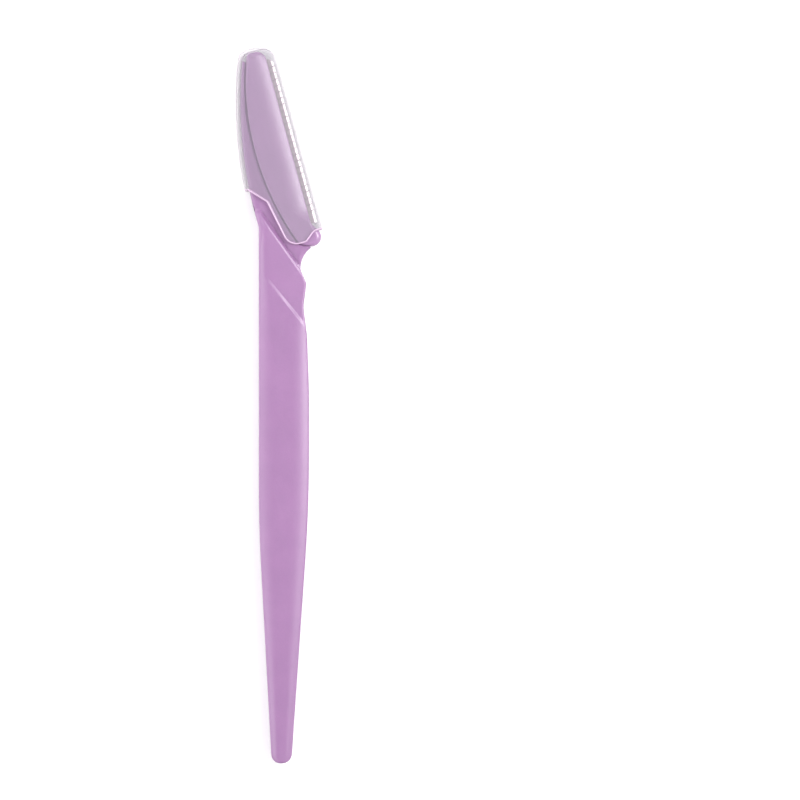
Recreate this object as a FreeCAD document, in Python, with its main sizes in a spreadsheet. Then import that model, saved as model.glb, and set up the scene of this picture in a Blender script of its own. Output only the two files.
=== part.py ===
"""Eyebrow razor with a push-on cap: a tapered moulded handle whose curved spine carries two crescent
covers, which clamp a wire-wound blade between them.

The razor lies on its back face. +Y runs along the grip towards the tip, +Z is up through the front face,
and the origin is on the resting face, in the middle of the grip's width.
"""

import FreeCAD
import Part
import math
import os
import Sketcher

# Driving sizes: millimetres, degrees and counts

SIZES = (
    # Grip
    ("handle_width", 10.5, "widest part of the grip"),
    ("handle_thickness", 4.6, "grip from face to face"),
    ("tail_reach", 71.8, "origin to the tail end"),
    ("tail_width", 4.1, "grip width at the tail end"),
    ("tail_shift", 0.5, "tail centre, left of the grip centre"),
    ("tail_rounding", 1.6, "corner radius of the tail"),
    ("left_taper_drop", 22.2, "origin down to the left taper"),
    ("right_taper_drop", 18.1, "origin down to the right taper"),
    ("taper_blend", 330, "radius that eases the grip into its taper"),
    ("top_blend", 165, "radius that eases the right edge towards the scoop"),
    ("crown_flat", 3.2, "flat middle of each crowned face"),
    ("crown_radius", 10, "radius of the crown beside the flat"),
    ("grip_edge_rounding", 0.35, "edge radius all round the grip"),
    # Neck
    ("neck_height", 40.3, "origin up to the foot of the spine"),
    ("scoop_drop", 16.6, "deepest place of the finger scoop, below the foot of the spine"),
    ("scoop_inset", 1.2, "right edge drawn in there"),
    ("scoop_foot_drop", 6.2, "lower end of the finger scoop, below its deepest place"),
    ("scoop_foot_inset", 0.4, "right edge drawn in there"),
    ("grip_top_drop", 11.5, "where the right edge starts to draw in, below the scoop"),
    ("scoop_blend", 9, "radius that eases the scoop"),
    ("lobe_drop", 11.7, "corner above the scoop, below the foot of the spine"),
    ("lobe_inset", 0.55, "right edge drawn in there"),
    ("lobe_rounding", 1, "corner radius of the lobe"),
    ("waist_drop", 8.8, "narrowest place, where the step starts, below the foot of the spine"),
    ("waist_inset", 1.8, "right edge drawn in there"),
    ("waist_blend", 4, "radius that eases the waist into the step"),
    ("step_rise", 3.65, "where the step meets the left edge, above the foot of the spine"),
    ("step_rounding", 0.2, "corner radius left there by the edge rounding"),
    ("facet_angle", 39, "lower crease, from the length of the grip"),
    ("facet_drop", 15.3, "lower crease at the grip centre, below the foot of the spine"),
    ("facet_depth", 0.1, "wall of the lower crease at the grip centre"),
    ("facet_fall", 3.8, "slope of the facet away from its crease"),
    ("facet_tilt", 2, "slope of the facet along its crease"),
    # Head
    ("blade_angle", 15.3, "blade edge, from the length of the grip"),
    ("spine_foot", 0.3, "foot of the spine, above the heel corner"),
    ("head_length", 36, "heel corner to the tip"),
    ("head_thickness", 2.9, "spine and covers from face to face"),
    ("crescent_width", 7.5, "covers at their widest, seam to blade lip"),
    ("crescent_peak", 15.5, "widest place of the covers, above the heel corner"),
    ("crescent_radius", 58.5, "radius of the seam, from the heel to the widest place"),
    ("crescent_tip_width", 3.79, "covers at the tip, seam to blade lip"),
    ("seam_gap", 0.3, "open line between spine and covers"),
    ("spine_foot_width", 5.1, "spine at its foot, back to seam"),
    ("spine_tip_width", 0.5, "spine at its end, back to seam"),
    ("spine_end", 1.3, "end of the spine, below the tip"),
    ("spine_radius", 92, "radius of the spine's back"),
    ("spine_root", 4, "spine carried on inside the grip"),
    ("spine_edge_rounding", 0.5, "edge radius of the spine"),
    ("neck_radius", 5.4, "hollow between waist and heel"),
    ("heel_depth", 5.4, "heel of the covers, below the heel corner"),
    ("heel_rounding", 2, "corner radius of the covers' heel"),
    ("knob_radius", 1.95, "heel knob, seen from the front"),
    ("knob_reach", 1.4, "knob past the blade lip"),
    ("knob_depth", 4.5, "knob centre, below the heel corner"),
    ("knob_shoulder", 1.8, "where the knob runs out into the blade lip, below the heel corner"),
    ("knob_blend", 1.5, "radius that eases the knob into the lip"),
    ("tip_rounding", 2, "corner radius of the tip beside the blade"),
    ("tip_back_rounding", 1.3, "corner radius of the tip beside the spine"),
    ("cheek_width", 3.8, "hollowed slope of each cover, from the blade lip"),
    ("cheek_radius", 7, "hollow of that slope"),
    ("cheek_foot", 0.4, "lower end of that slope, below the heel corner"),
    ("lip_width", 0.5, "flat lip along the blade"),
    ("lip_thickness", 0.85, "each cover at its lip, from the parting plane"),
    ("cover_edge_rounding", 0.45, "edge radius of the covers"),
    ("parting_gap", 0.02, "between each cover and what it lies on"),
    ("tang_heel", 2, "lower end of the tang, below the heel corner"),
    ("tang_tip", 2.8, "upper end of the tang, below the tip"),
    ("pin_diameter", 1.2, "cover pins"),
    ("pin_clearance", 0.06, "round each pin"),
    ("pin_grip", 0.5, "pin inside the rear cover"),
    ("pin_floor", 0.1, "room under each pin"),
    ("low_pin_height", 2, "lowest pin, above the heel corner"),
    ("middle_pin_height", 12.5, "middle pin, above the heel corner"),
    ("high_pin_height", 23, "highest pin, above the heel corner"),
    # Blade and its guard
    ("blade_width", 4.6, "strip from spine to edge"),
    ("blade_thickness", 0.3, "strip"),
    ("blade_exposure", 1.3, "edge past the covers' lip"),
    ("blade_heel", 1.75, "lower end, below the heel corner"),
    ("blade_tip", 2.2, "upper end, below the tip"),
    ("bevel_width", 0.45, "ground bevel"),
    ("edge_land", 0.02, "what the grinding leaves at the edge"),
    ("blade_corner", 0.8, "corner cut off at the tip"),
    ("blade_clearance", 0.1, "round the blade in its slot"),
    ("wire_diameter", 0.15, "guard wire"),
    ("wire_clearance", 0.09, "wire off the blade"),
    ("recess_clearance", 0.05, "covers off the wire"),
    ("wire_turns", 24, "turns of the guard wire"),
    ("wire_heel_margin", 2, "bare blade below the first turn"),
    ("wire_tip_margin", 0.95, "bare blade above the last turn"),
    # Cap
    ("cap_clearance", 0.2, "cap off the faces, the tip and the guard wire"),
    ("cap_back_clearance", 0.25, "cap off the spine's back"),
    ("cap_face_wall", 0.65, "front and back of the cap"),
    ("cap_back_wall", 0.75, "cap behind the spine"),
    ("cap_blade_wall", 0.5, "cap over the edge"),
    ("cap_tip_wall", 0.65, "cap over the tip"),
    ("cap_rounding", 2.35, "corner radius of the cap's hollow over the blade"),
    ("cap_back_rounding", 1.9, "corner radius of the cap's hollow over the spine"),
    ("cap_shoulder", 0.8, "cap's back corner, in from the end of the spine"),
    ("cap_edge_rounding", 0.5, "edge radius of the cap"),
    ("mouth_back_height", 7.6, "mouth at the spine's back, above the heel corner"),
    ("mouth_seam_height", 4.9, "mouth beside the seam, above the heel corner"),
    ("tongue_margin", 1.3, "tongue past the seam, at its root"),
    ("tongue_heel_margin", 2, "tongue past the seam, at its end"),
    ("tongue_width", 3.8, "end of the tongue"),
    ("tongue_depth", 5.35, "end of the tongue, below the heel corner"),
    ("tongue_blend", 3, "corner radius at the end of the tongue"),
    ("mouth_blend", 0.95, "corner radius of the mouth beside the seam"),
    ("mouth_edge_blend", 1.5, "corner radius of the mouth over the knob"),
    ("mouth_edge_depth", 3.1, "mouth over the edge, below the heel corner"),
    ("mouth_edge_rise", 0.45, "mouth's slope over the knob"),
    ("mouth_edge_run", 0.9, "mouth's corner over the knob, past the knob's middle"),
)

doc = FreeCAD.newDocument("eyebrow_razor")
sheet = doc.addObject("Spreadsheet::Sheet", "Sizes")
for row, (alias, number, note) in enumerate(SIZES, start=1):
    sheet.set(f"A{row}", note)
    sheet.set(f"B{row}", str(number))
    sheet.setAlias(f"B{row}", alias)
doc.recompute()


def size(alias):
    """The number in a cell of the sheet."""
    return float(getattr(sheet, alias))


def sheet_value(formula):
    """The number that a formula of the sheet gives."""
    return float(sheet.evalExpression(formula))


# Places that several pieces share, as formulas of the sheet

HALF_WIDTH = "Sizes.handle_width / 2"
HALF_HANDLE = "Sizes.handle_thickness / 2"
HALF_HEAD = "Sizes.head_thickness / 2"
HALF_GAP = "Sizes.seam_gap / 2"
BLADE_SPINE = "(Sizes.blade_exposure - Sizes.blade_width)"
WIRE_REACH = "(Sizes.wire_clearance + Sizes.wire_diameter)"
# Height of each cover's recess over the parting plane: the wound blade and the tang both fill it
COVER_FLOOR = f"(Sizes.blade_thickness / 2 + {WIRE_REACH} + Sizes.recess_clearance)"
TANG_EDGE = f"({BLADE_SPINE} - {WIRE_REACH} - Sizes.blade_clearance)"
KNOB_CENTRE = "(Sizes.knob_reach - Sizes.knob_radius)"
COSINE = "cos(Sizes.blade_angle)"
SINE = "sin(Sizes.blade_angle)"
# Further than any piece reaches, for cuts that run right through
PAST_ALL = "(Sizes.tail_reach + Sizes.neck_height + Sizes.head_length)"


SPINE_END = "(Sizes.head_length - Sizes.spine_end)"
TANG_TIP = "(Sizes.head_length - Sizes.tang_tip)"
BLADE_TIP = "(Sizes.head_length - Sizes.blade_tip)"
# The seam is two arcs that meet at the widest place; the upper one is as round as the tip's width makes it
CRESCENT_PEAK = "Sizes.crescent_peak"
TIP_RISE = "(Sizes.head_length - Sizes.crescent_peak)"
TIP_DRAW = "(Sizes.crescent_width - Sizes.crescent_tip_width)"
TIP_RADIUS = f"(({TIP_RISE} ^ 2 + {TIP_DRAW} ^ 2) / (2 * {TIP_DRAW}))"


def seam(height):
    """Across-place of the seam's middle line at a height above the heel corner."""
    rise = f"({height} - Sizes.crescent_peak)"
    radius = f"({rise} > 0 ? {TIP_RADIUS} : Sizes.crescent_radius)"
    return f"({radius} - Sizes.crescent_width - sqrt({radius} ^ 2 - {rise} ^ 2))"


SPINE_FOOT = f"({seam('Sizes.spine_foot')} - {HALF_GAP} - Sizes.spine_foot_width)"
SPINE_TIP = f"({seam(SPINE_END)} - {HALF_GAP} - Sizes.spine_tip_width)"
# The heel corner of the covers, placed so that the spine's foot ends the grip's straight left edge
HEEL_X = f"(-{HALF_WIDTH} - {SPINE_FOOT} * {COSINE} + Sizes.spine_foot * {SINE})"
HEEL_Y = f"(Sizes.neck_height - {SPINE_FOOT} * {SINE} - Sizes.spine_foot * {COSINE})"


COVER_HEEL = (f"({seam('(-Sizes.heel_depth)')} + {HALF_GAP})", "(-Sizes.heel_depth)")
COVER_LIP = ("0", "(-Sizes.knob_shoulder)")


def knob_angle(place, turn):
    """Angle at which a line from a place runs smoothly onto the knob, to its left or right."""
    across = f"({place[0]} - {KNOB_CENTRE})"
    along = f"({place[1]} + Sizes.knob_depth)"
    return f"(atan2({along}; {across}) {turn} acos(Sizes.knob_radius / sqrt({across} ^ 2 + {along} ^ 2)))"


def on_knob(angle):
    """A place on the knob's rim at an angle from straight across."""
    return (f"({KNOB_CENTRE} + Sizes.knob_radius * cos({angle}))",
            f"(-Sizes.knob_depth + Sizes.knob_radius * sin({angle}))")


LOW_ANGLE = knob_angle(COVER_HEEL, "+")
HIGH_ANGLE = knob_angle(COVER_LIP, "-")
KNOB_LOW = on_knob(LOW_ANGLE)
KNOB_SIDE = on_knob(f"(({LOW_ANGLE} + {HIGH_ANGLE}) / 2)")
KNOB_HIGH = on_knob(HIGH_ANGLE)


def to_head(x, y):
    """Head coordinates of a place that is given in the grip's coordinates."""
    return (f"((({x}) - {HEEL_X}) * {COSINE} + (({y}) - {HEEL_Y}) * {SINE})",
            f"((({y}) - {HEEL_Y}) * {COSINE} - (({x}) - {HEEL_X}) * {SINE})")


def from_head(across, along):
    """Grip coordinates of a place that is given in the head's coordinates."""
    return (f"({HEEL_X} + {across} * {COSINE} - {along} * {SINE})",
            f"({HEEL_Y} + {across} * {SINE} + {along} * {COSINE})")


# Tolerances for picking faces and edges: a slope, and a distance in millimetres
UPRIGHT = 0.01
NEAR = 0.001

# Sketching: an outline is a list of corners, each with formulas for its place

class Corner:
    """A corner of an outline: sharp or rounded, with a straight side or an arc leading on from it."""

    def __init__(self, x, y, rounding=None, arc=None, bulge=None):
        self.x = x
        self.y = y
        self.rounding = rounding
        self.arc = arc
        self.bulge = bulge


class Side:
    """A drawn line or arc of a sketch: its number, and which of its ends comes first along the outline."""

    def __init__(self, number, first, last):
        self.number = number
        self.first = first
        self.last = last


def arc_side(sketch, start, end, radius, bulge):
    """Draws the short arc from start to end that bulges to the right or left of the way along it."""
    chord = end - start
    left = FreeCAD.Vector(-chord.y, chord.x, 0).normalize()
    depth = math.sqrt(radius ** 2 - (chord.Length / 2) ** 2)
    centre = (start + end) * 0.5 + left * (depth if bulge == "right" else -depth)
    first, last = (start, end) if bulge == "right" else (end, start)
    circle = Part.Circle(centre, FreeCAD.Vector(0, 0, 1), radius)
    angles = [math.atan2(p.y - centre.y, p.x - centre.x) for p in (first, last)]
    number = sketch.addGeometry(Part.ArcOfCircle(circle, angles[0], angles[1]), False)
    return Side(number, 1, 2) if bulge == "right" else Side(number, 2, 1)


def constrain(sketch, kind, *where):
    """Adds a constraint and gives its number."""
    return sketch.addConstraint(Sketcher.Constraint(kind, *where))


def bind(sketch, kind, formula, *where):
    """Adds a dimension and ties it to its formula."""
    number = constrain(sketch, kind, *where, sketch.evalExpression(formula))
    sketch.setExpression(f"Constraints[{number}]", formula)


def pin_down(sketch, corner, number, end):
    """Ties a point of the sketch to a corner's formulas."""
    bind(sketch, "DistanceX", corner.x, -1, 1, number, end)
    bind(sketch, "DistanceY", corner.y, -1, 1, number, end)


def draw(sketch, corners):
    """Draws one closed outline, fully dimensioned."""
    count = len(corners)
    points = [FreeCAD.Vector(sketch.evalExpression(c.x), sketch.evalExpression(c.y), 0) for c in corners]
    starts = list(points)
    ends = list(points)
    for i, corner in enumerate(corners):
        if corner.rounding:
            back = (points[i - 1] - points[i]).normalize()
            ahead = (points[(i + 1) % count] - points[i]).normalize()
            turn = math.pi - back.getAngle(ahead)
            setback = sketch.evalExpression(corner.rounding) * math.tan(turn / 2)
            ends[i] = points[i] + back * setback
            starts[i] = points[i] + ahead * setback
    sides = []
    for i, corner in enumerate(corners):
        start = starts[i]
        end = ends[(i + 1) % count]
        if corner.arc:
            side = arc_side(sketch, start, end, sketch.evalExpression(corner.arc), corner.bulge)
            bind(sketch, "Radius", corner.arc, side.number)
        else:
            side = Side(sketch.addGeometry(Part.LineSegment(start, end), False), 1, 2)
        sides.append(side)
    for i, corner in enumerate(corners):
        before = sides[i - 1]
        after = sides[i]
        if corner.rounding:
            ahead = points[(i + 1) % count] - points[i]
            behind = points[i] - points[i - 1]
            bulge = "right" if behind.cross(ahead).z > 0 else "left"
            radius = sketch.evalExpression(corner.rounding)
            bend = arc_side(sketch, ends[i], starts[i], radius, bulge)
            constrain(sketch, "Tangent", before.number, before.last, bend.number, bend.first)
            constrain(sketch, "Tangent", bend.number, bend.last, after.number, after.first)
            bind(sketch, "Radius", corner.rounding, bend.number)
            mark = sketch.addGeometry(Part.Point(points[i]), True)
            constrain(sketch, "PointOnObject", mark, 1, before.number)
            constrain(sketch, "PointOnObject", mark, 1, after.number)
            pin_down(sketch, corner, mark, 1)
        else:
            constrain(sketch, "Coincident", before.number, before.last, after.number, after.first)
            pin_down(sketch, corner, after.number, after.first)


def draw_circle(sketch, x, y, radius):
    """Draws one circle, fully dimensioned."""
    centre = FreeCAD.Vector(sketch.evalExpression(x), sketch.evalExpression(y), 0)
    circle = Part.Circle(centre, FreeCAD.Vector(0, 0, 1), sketch.evalExpression(radius))
    number = sketch.addGeometry(circle, False)
    bind(sketch, "Radius", radius, number)
    pin_down(sketch, Corner(x, y), number, 3)


def new_body(name):
    """An empty body whose XY plane is the razor's middle plane."""
    body = doc.addObject("PartDesign::Body", name)
    body.Label = name
    return body


def place_in_razor(body, in_head):
    """Lifts a body to the razor's middle plane, in the grip's or the head's coordinates."""
    # A turn of one degree sets the axis, which a turn of none would lose
    body.Placement = FreeCAD.Placement(FreeCAD.Vector(), FreeCAD.Rotation(FreeCAD.Vector(0, 0, 1), 1))
    body.setExpression("Placement.Base.z", HALF_HANDLE)
    body.setExpression("Placement.Base.x", HEEL_X if in_head else "0")
    body.setExpression("Placement.Base.y", HEEL_Y if in_head else "0")
    body.setExpression("Placement.Rotation.Angle", "Sizes.blade_angle" if in_head else "0")
    doc.recompute()
    return body


def new_sketch(body, name, plane="XY_Plane", height=None):
    """A sketch on one of the body's own planes, lifted off it by a formula where one is given."""
    sketch = body.newObject("Sketcher::SketchObject", name)
    support = [f for f in body.Origin.OriginFeatures if f.Role == plane][0]
    sketch.AttachmentSupport = (support, "")
    sketch.MapMode = "FlatFace"
    if height:
        sketch.setExpression("AttachmentOffset.Base.z", height)
    doc.recompute()
    return sketch


def extrude(body, kind, name, sketch, length, side="Symmetric", backwards=False):
    """Pads or pockets a sketch to a length, to both sides of it or to one."""
    feature = body.newObject(f"PartDesign::{kind}", name)
    feature.Profile = sketch
    feature.setExpression("Length", length)
    feature.SideType = side
    feature.Reversed = backwards
    before = body.Shape.Volume if kind == "Pocket" else 0
    doc.recompute()
    if kind == "Pocket" and not feature.Shape.Volume < before:
        raise RuntimeError(f"{name} cuts nothing")
    return feature


def round_edges(body, name, radius, chosen):
    """Rounds the edges of the body that the test chosen picks."""
    base = body.Tip
    names = [f"Edge{i}" for i, edge in enumerate(base.Shape.Edges, start=1) if chosen(edge)]
    feature = body.newObject("PartDesign::Fillet", name)
    feature.Base = (base, names)
    feature.setExpression("Radius", radius)
    doc.recompute()
    return feature


def is_wall(face):
    """Whether a face stands upright."""
    u_low, u_high, v_low, v_high = face.ParameterRange
    return abs(face.normalAt((u_low + u_high) / 2, (v_low + v_high) / 2).z) < UPRIGHT


def on_rim(shape, edge):
    """Whether an edge joins an upright wall to a face."""
    return sum(is_wall(f) for f in shape.ancestorsOfType(edge, Part.Face)) == 1


def on_outer_rim(shape, edge):
    """Whether an edge of a cover is on the rim of its outer face, away from the parting plane."""
    return on_rim(shape, edge) and abs(edge.CenterOfMass.z) > size("parting_gap")


def has_radius(edge, *aliases):
    """Whether an edge is an arc with one of the named radii."""
    curve = edge.Curve
    return isinstance(curve, Part.Circle) and any(abs(curve.Radius - size(alias)) < NEAR for alias in aliases)


def in_plan(place):
    """A place of the plan, from its two formulas."""
    return FreeCAD.Vector(sheet_value(place[0]), sheet_value(place[1]), 0)


def plan_of(edge):
    """The ends of an edge, seen in the plan."""
    return [FreeCAD.Vector(vertex.X, vertex.Y, 0) for vertex in edge.Vertexes]


def stands_on(edge, place):
    """Whether an edge stands upright on a place of the plan."""
    return all(end.distanceToPoint(in_plan(place)) < NEAR for end in plan_of(edge))


# Handle: grip, neck, spine and tang in one moulding

WAIST = (f"({HALF_WIDTH} - Sizes.waist_inset)", "(Sizes.neck_height - Sizes.waist_drop)")


def crown_face(body, name, face):
    """Cuts one face of the grip to a crown with a flat middle."""
    sketch = new_sketch(body, f"{name}_section", "XZ_Plane")
    across = f"(Sizes.crown_flat / 2 + {HALF_WIDTH})"
    drop = f"(Sizes.crown_radius - sqrt(Sizes.crown_radius ^ 2 - ({HALF_WIDTH}) ^ 2))"
    for side in (1, -1):
        draw(sketch, [
            Corner(f"{side} * Sizes.crown_flat / 2", f"{face} * {HALF_HANDLE}", arc="Sizes.crown_radius",
                   bulge="left" if side == face else "right"),
            Corner(f"{side} * {across}", f"{face} * ({HALF_HANDLE} - {drop})"),
            Corner(f"{side} * {across}", f"{face} * Sizes.handle_thickness"),
            Corner(f"{side} * Sizes.crown_flat / 2", f"{face} * Sizes.handle_thickness"),
        ])
    return extrude(body, "Pocket", name, sketch, f"2 * {PAST_ALL}")


def cut_facet(body):
    """Cuts the sloping facet of the neck into the front face, with the slanted wall of its crease."""
    sketch = new_sketch(body, "facet_section", "XZ_Plane")
    turn = "rotation(0; Sizes.facet_angle; Sizes.facet_tilt)"
    place = "vector(0; 0; Sizes.facet_drop - Sizes.neck_height)"
    sketch.setExpression("AttachmentOffset", f"placement({place}; {turn})")
    foot = f"({HALF_HANDLE} - Sizes.facet_depth)"
    draw(sketch, [
        Corner("0", foot),
        Corner("Sizes.neck_height", f"{foot} - Sizes.neck_height * tan(Sizes.facet_fall)"),
        Corner("Sizes.neck_height", "Sizes.handle_thickness"),
        Corner(f"{foot} - Sizes.handle_thickness", "Sizes.handle_thickness"),
    ])
    return extrude(body, "Pocket", "facet", sketch, PAST_ALL)


def mirror_to_back(body, name, feature):
    """Repeats a feature of the front face on the back face."""
    mirror = body.newObject("PartDesign::Mirrored", name)
    mirror.Originals = [feature]
    mirror.MirrorPlane = ([f for f in body.Origin.OriginFeatures if f.Role == "XY_Plane"][0], [""])
    body.Tip = mirror
    doc.recompute()
    return mirror


def make_handle():
    body = new_body("handle")
    tail_y = "-Sizes.tail_reach"
    scoop_foot = "Sizes.neck_height - Sizes.scoop_drop - Sizes.scoop_foot_drop"
    grip = new_sketch(body, "grip_outline")
    draw(grip, [
        Corner("Sizes.tail_width / 2 - Sizes.tail_shift", tail_y, "Sizes.tail_rounding"),
        Corner(HALF_WIDTH, "-Sizes.right_taper_drop", "Sizes.taper_blend"),
        Corner(HALF_WIDTH, f"{scoop_foot} - Sizes.grip_top_drop", "Sizes.top_blend"),
        Corner(f"{HALF_WIDTH} - Sizes.scoop_foot_inset", scoop_foot, "Sizes.scoop_blend"),
        Corner(f"{HALF_WIDTH} - Sizes.scoop_inset", "Sizes.neck_height - Sizes.scoop_drop",
               "Sizes.scoop_blend"),
        Corner(f"{HALF_WIDTH} - Sizes.lobe_inset", "Sizes.neck_height - Sizes.lobe_drop",
               "Sizes.lobe_rounding"),
        Corner(*WAIST, "Sizes.waist_blend"),
        Corner(f"-{HALF_WIDTH}", "Sizes.neck_height + Sizes.step_rise",
               "Sizes.grip_edge_rounding + Sizes.step_rounding"),
        Corner(f"-{HALF_WIDTH}", "-Sizes.left_taper_drop", "Sizes.taper_blend"),
        Corner("-Sizes.tail_width / 2 - Sizes.tail_shift", tail_y, "Sizes.tail_rounding"),
    ])
    extrude(body, "Pad", "grip", grip, "Sizes.handle_thickness")
    crown_face(body, "front_crown", 1)
    crown_face(body, "back_crown", -1)
    round_edges(body, "grip_rim", "Sizes.grip_edge_rounding", lambda edge: on_rim(body.Tip.Shape, edge))
    mirror_to_back(body, "back_facet", cut_facet(body))
    join(body, "spine_and_grip", make_spine())
    add_tang(body)
    return place_in_razor(body, in_head=False)


def in_head_frame(sketch):
    """Turns and moves a sketch of the handle into the head's own coordinates."""
    turn = "rotation(Sizes.blade_angle; 0; 0)"
    sketch.setExpression("AttachmentOffset", f"placement(vector({HEEL_X}; {HEEL_Y}; 0); {turn})")
    doc.recompute()


def carried_on(place, start, end, radius):
    """A place carried on along an arc's tangent, by the length of the spine's root and to its inner side."""
    across = f"({end[0]} - {start[0]})"
    along = f"({end[1]} - {start[1]})"
    way = f"(atan2({along}; {across}) + asin(sqrt({across} ^ 2 + {along} ^ 2) / 2 / {radius}))"
    return (f"({place[0]} + Sizes.spine_root * cos({way}))", f"({place[1]} + Sizes.spine_root * sin({way}))")


def make_spine():
    """The thinner arm that curves up behind the covers to the tip, with its outer edges rounded."""
    body = new_body("spine_form")
    sketch = new_sketch(body, "spine_outline")
    in_head_frame(sketch)
    low_seam = "(-Sizes.heel_depth - Sizes.seam_gap)"
    heel = (f"({seam(low_seam)} - {HALF_GAP})", low_seam)
    under_knob = (KNOB_LOW[0], f"({KNOB_LOW[1]} - Sizes.seam_gap)")
    waist = to_head(*WAIST)
    foot = (SPINE_FOOT, "Sizes.spine_foot")
    tip = (SPINE_TIP, SPINE_END)
    back_root = carried_on(foot, tip, foot, "Sizes.spine_radius")
    neck_root = carried_on(waist, under_knob, waist, "(-Sizes.neck_radius)")
    draw(sketch, [
        Corner(*under_knob),
        Corner(*heel, arc="Sizes.crescent_radius", bulge="left"),
        Corner(f"{seam(CRESCENT_PEAK)} - {HALF_GAP}", CRESCENT_PEAK, arc=TIP_RADIUS, bulge="left"),
        Corner(f"{seam(SPINE_END)} - {HALF_GAP}", SPINE_END),
        Corner(*tip, arc="Sizes.spine_radius", bulge="right"),
        Corner(*foot),
        Corner(*back_root),
        Corner(*neck_root),
        Corner(*waist, arc="Sizes.neck_radius", bulge="left"),
    ])
    extrude(body, "Pad", "spine", sketch, "Sizes.head_thickness")
    heel_in_grip = from_head(*heel)
    round_edges(body, "heel_hollow", "Sizes.heel_rounding + Sizes.seam_gap",
                lambda edge: stands_on(edge, heel_in_grip))
    round_edges(body, "spine_rim", "Sizes.spine_edge_rounding",
                lambda edge: on_rim(body.Tip.Shape, edge) and has_radius(edge, "spine_radius", "neck_radius"))
    return body


def join(body, name, other):
    """Joins another body's form into a body."""
    union = body.newObject("PartDesign::Boolean", name)
    union.Type = "Fuse"
    union.addObject(other)
    doc.recompute()
    return union


def add_tang(body):
    """Adds the thin tang that the covers clamp, with a hole for each pin."""
    sketch = new_sketch(body, "tang_outline")
    in_head_frame(sketch)
    root = f"({HALF_GAP} + Sizes.spine_tip_width / 2)"
    draw(sketch, [
        Corner(TANG_EDGE, "-Sizes.tang_heel"),
        Corner(TANG_EDGE, TANG_TIP),
        Corner(f"{seam(TANG_TIP)} - {root}", TANG_TIP, arc=TIP_RADIUS, bulge="right"),
        Corner(f"{seam(CRESCENT_PEAK)} - {root}", CRESCENT_PEAK, arc="Sizes.crescent_radius", bulge="right"),
        Corner(f"{seam('(-Sizes.tang_heel)')} - {root}", "-Sizes.tang_heel"),
    ])
    extrude(body, "Pad", "tang", sketch, f"2 * ({COVER_FLOOR} - Sizes.parting_gap)")
    holes = new_sketch(body, "pin_holes")
    in_head_frame(holes)
    draw_pins(holes, "Sizes.pin_diameter / 2 + Sizes.pin_clearance")
    extrude(body, "Pocket", "pin_passages", holes, "Sizes.head_thickness")


def draw_pins(sketch, radius):
    """Draws the three pins, midway between the seam and the edge of the tang."""
    for height in ("Sizes.low_pin_height", "Sizes.middle_pin_height", "Sizes.high_pin_height"):
        draw_circle(sketch, f"({seam(height)} + {TANG_EDGE}) / 2", height, radius)


# Covers: two crescent shells, mirror images, with the heel knob split between them

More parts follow.
